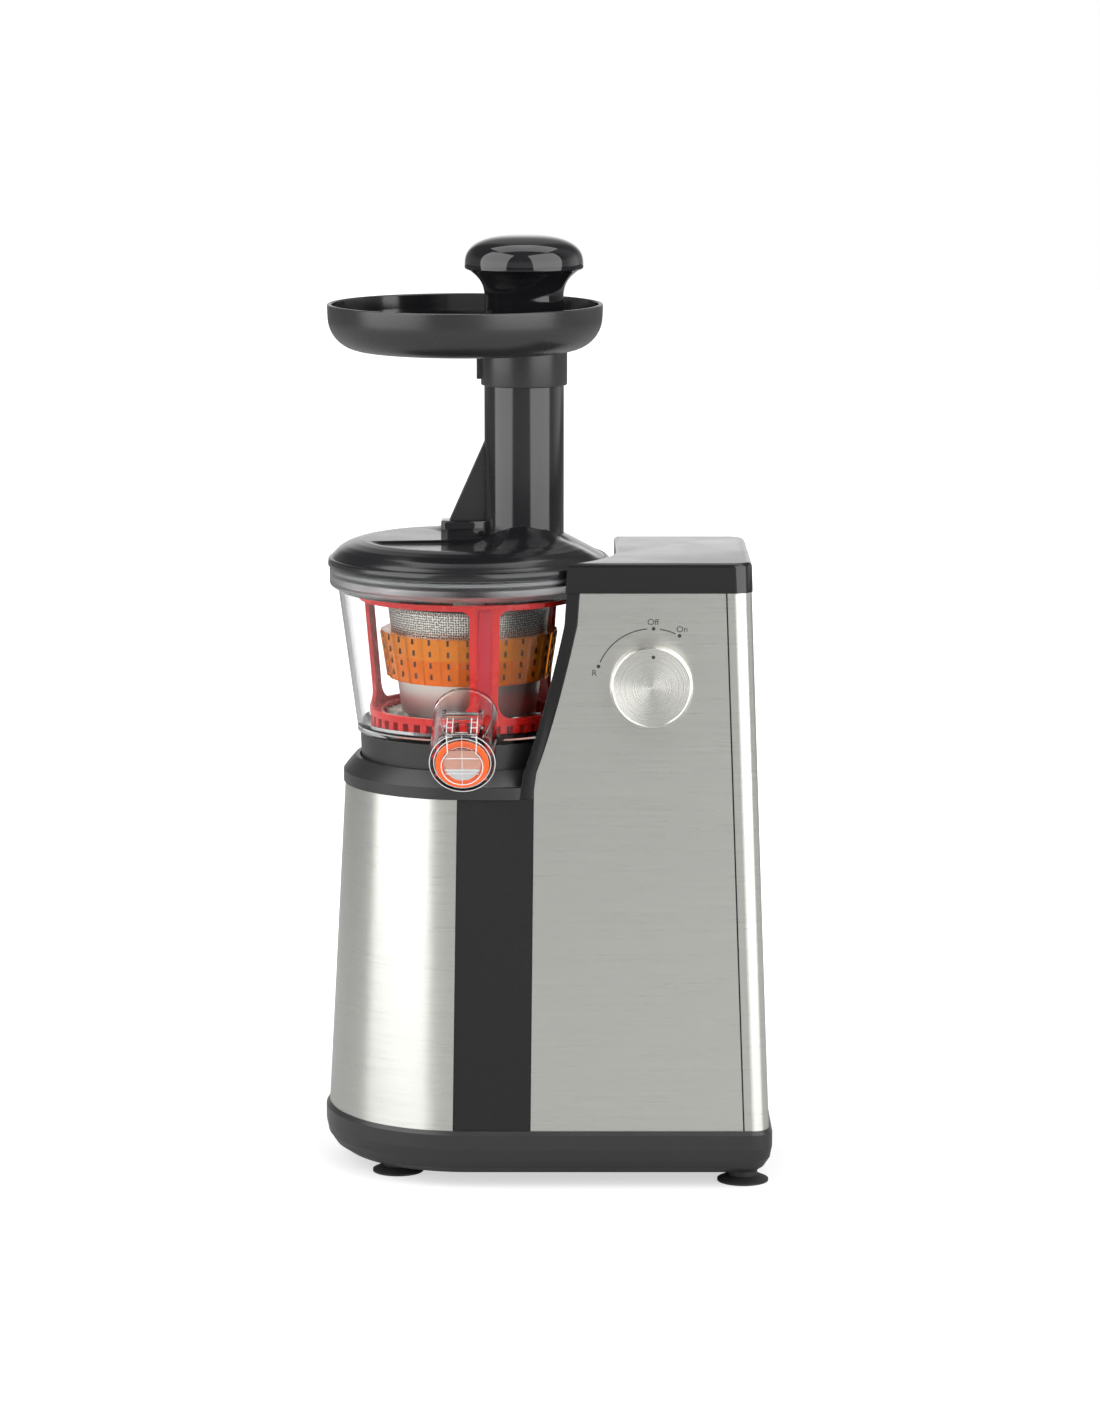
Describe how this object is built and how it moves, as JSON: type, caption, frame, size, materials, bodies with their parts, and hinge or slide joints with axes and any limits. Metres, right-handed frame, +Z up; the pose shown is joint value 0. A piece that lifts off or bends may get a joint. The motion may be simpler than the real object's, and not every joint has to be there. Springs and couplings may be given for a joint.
{
  "type": "cold press juicer",
  "caption": "Upright slow juicer: steel motor tower, clear bowl with screw, strainer and brush cage, feed tube, tray and pusher.",
  "frame": {"origin": "middle of the part's box, on the surface that the feet stand on", "axes": "+Z up, -Y towards the side with the knob and the juice spout, +X from the bowl towards the motor tower"},
  "size_m": [0.2298, 0.2197, 0.4799],
  "materials": {
    "black_satin": "satin black moulding, fine grain",
    "black_gloss": "polished black moulding",
    "strip_black": "matt black strip, fine spark texture",
    "steel_sheet": "fine horizontal brushing",
    "knob_metal": "spun face with a bright turned rim",
    "clear_plastic": "clear polished bowl plastic",
    "red_plastic": "glossy red moulding",
    "red_silicone": "soft red wiper",
    "amber_plastic": "clear amber moulding",
    "orange_silicone": "orange silicone",
    "grey_silicone": "grey silicone",
    "screen_steel": "fine perforated steel",
    "screw_plastic": "tough dark moulding",
    "gear_plastic": "ivory gear plastic",
    "machine_steel": "turned steel",
    "core_iron": "laminated core",
    "winding": "varnished copper winding",
    "board_green": "green circuit board",
    "switch_grey": "grey switch body",
    "foot_rubber": "black rubber foot"
  },
  "bodies": {
    "base": {"base_tray": "black_satin", "feet": "foot_rubber", "housing": "black_satin", "front_wrap": "steel_sheet", "near_strip": "strip_black", "far_strip": "strip_black", "near_panel": "steel_sheet", "far_panel": "steel_sheet", "near_corner_strip": "steel_sheet", "far_corner_strip": "steel_sheet", "back_cover": "black_satin", "cord_gland": "black_satin", "tower_front": "black_satin", "tower_cap": "black_gloss", "shoulder_deck": "black_satin", "rotary_switch": "switch_grey", "motor_bracket": "machine_steel", "motor_stator": "core_iron", "stator_coils": "winding", "gearbox_housing": "gear_plastic", "shaft_bearings": "machine_steel", "control_board": "board_green", "board_bosses": "black_satin", "board_parts": "black_gloss", "base_screws": "machine_steel"},
    "knob": {"knob": "knob_metal", "knob_spindle": "machine_steel"},
    "rotor": {"motor_rotor": "core_iron", "motor_shaft": "machine_steel", "cooling_fan": "black_satin"},
    "carrier_1": {"carrier_1": "gear_plastic"},
    "output": {"output_shaft": "machine_steel"},
    "bowl": {"bowl": "clear_plastic", "bowl_ring": "black_satin", "juice_spout": "clear_plastic", "pulp_chute": "clear_plastic", "pulp_plug": "orange_silicone", "shaft_seal": "grey_silicone", "strainer": "screen_steel", "strainer_frame": "amber_plastic", "flap_ears": "clear_plastic", "flap_pin": "machine_steel"},
    "screw": {"screw": "screw_plastic"},
    "idler": {"idler_gear": "gear_plastic"},
    "brush": {"brush_cage": "red_plastic", "wiper_blades": "red_silicone"},
    "flap": {"spout_flap": "clear_plastic", "flap_seal": "orange_silicone"},
    "lid": {"lid": "black_satin", "lid_seal": "grey_silicone", "lid_bush": "gear_plastic", "feed_tube": "black_satin"},
    "tray": {"loading_tray": "black_satin"},
    "pusher": {"pusher": "black_gloss"},
    "planet_1a": {"planet_1a": "gear_plastic"},
    "planet_1b": {"planet_1b": "gear_plastic"},
    "planet_1c": {"planet_1c": "gear_plastic"},
    "planet_2a": {"planet_2a": "gear_plastic"},
    "planet_2b": {"planet_2b": "gear_plastic"},
    "planet_2c": {"planet_2c": "gear_plastic"}
  },
  "joints": [
    {"name": "knob_turn", "type": "hinge", "parent": "base", "child": "knob", "pos_m": [0.0526, -0.05907, 0.2577], "axis": [0, -0.9981, 0.0618], "range_deg": [-28, 68]},
    {"name": "motor_spin", "type": "hinge", "parent": "base", "child": "rotor", "pos_m": [-0.04, 0, 0.065], "axis": [0, 0, 1], "continuous": true},
    {"name": "stage_spin", "type": "hinge", "parent": "base", "child": "carrier_1", "pos_m": [-0.04, 0, 0.115], "axis": [0, 0, 1], "continuous": true},
    {"name": "output_spin", "type": "hinge", "parent": "base", "child": "output", "pos_m": [-0.04, 0, 0.18], "axis": [0, 0, 1], "continuous": true},
    {"name": "bowl_lift", "type": "slide", "parent": "base", "child": "bowl", "axis": [0, 0, 1], "range_m": [0, 0.11]},
    {"name": "screw_spin", "type": "hinge", "parent": "bowl", "child": "screw", "pos_m": [-0.04, 0, 0.26], "axis": [0, 0, 1], "continuous": true},
    {"name": "idler_spin", "type": "hinge", "parent": "bowl", "child": "idler", "pos_m": [-0.06598, 0.015, 0.232], "axis": [0, 0, 1], "continuous": true},
    {"name": "brush_spin", "type": "hinge", "parent": "bowl", "child": "brush", "pos_m": [-0.04, 0, 0.262], "axis": [0, 0, 1], "continuous": true},
    {"name": "flap_swing", "type": "hinge", "parent": "bowl", "child": "flap", "pos_m": [-0.04165, -0.09437, 0.24798], "axis": [-0.9998, 0.0175, 0], "range_deg": [0, 105]},
    {"name": "lid_lift", "type": "slide", "parent": "bowl", "child": "lid", "axis": [0, 0, 1], "range_m": [0, 0.06]},
    {"name": "tray_lift", "type": "slide", "parent": "lid", "child": "tray", "axis": [0, 0, 1], "range_m": [0, 0.04]},
    {"name": "pusher_slide", "type": "slide", "parent": "tray", "child": "pusher", "axis": [0, 0, 1], "range_m": [0, 0.08]},
    {"name": "planet_1a_spin", "type": "hinge", "parent": "carrier_1", "child": "planet_1a", "pos_m": [-0.04, 0.018, 0.108], "axis": [0, 0, 1], "continuous": true},
    {"name": "planet_1b_spin", "type": "hinge", "parent": "carrier_1", "child": "planet_1b", "pos_m": [-0.05559, -0.009, 0.108], "axis": [0, 0, 1], "continuous": true},
    {"name": "planet_1c_spin", "type": "hinge", "parent": "carrier_1", "child": "planet_1c", "pos_m": [-0.02441, -0.009, 0.108], "axis": [0, 0, 1], "continuous": true},
    {"name": "planet_2a_spin", "type": "hinge", "parent": "output", "child": "planet_2a", "pos_m": [-0.04, 0.018, 0.124], "axis": [0, 0, 1], "continuous": true},
    {"name": "planet_2b_spin", "type": "hinge", "parent": "output", "child": "planet_2b", "pos_m": [-0.05559, -0.009, 0.124], "axis": [0, 0, 1], "continuous": true},
    {"name": "planet_2c_spin", "type": "hinge", "parent": "output", "child": "planet_2c", "pos_m": [-0.02441, -0.009, 0.124], "axis": [0, 0, 1], "continuous": true}
  ],
  "couplings": [
    {"joint": "motor_spin", "follows": "screw_spin", "ratio": 16},
    {"joint": "stage_spin", "follows": "screw_spin", "ratio": 4},
    {"joint": "output_spin", "follows": "screw_spin", "ratio": 1},
    {"joint": "idler_spin", "follows": "screw_spin", "ratio": -0.875},
    {"joint": "brush_spin", "follows": "screw_spin", "ratio": -0.30435},
    {"joint": "planet_1a_spin", "follows": "screw_spin", "ratio": -12},
    {"joint": "planet_1b_spin", "follows": "screw_spin", "ratio": -12},
    {"joint": "planet_1c_spin", "follows": "screw_spin", "ratio": -12},
    {"joint": "planet_2a_spin", "follows": "screw_spin", "ratio": -3},
    {"joint": "planet_2b_spin", "follows": "screw_spin", "ratio": -3},
    {"joint": "planet_2c_spin", "follows": "screw_spin", "ratio": -3}
  ]
}
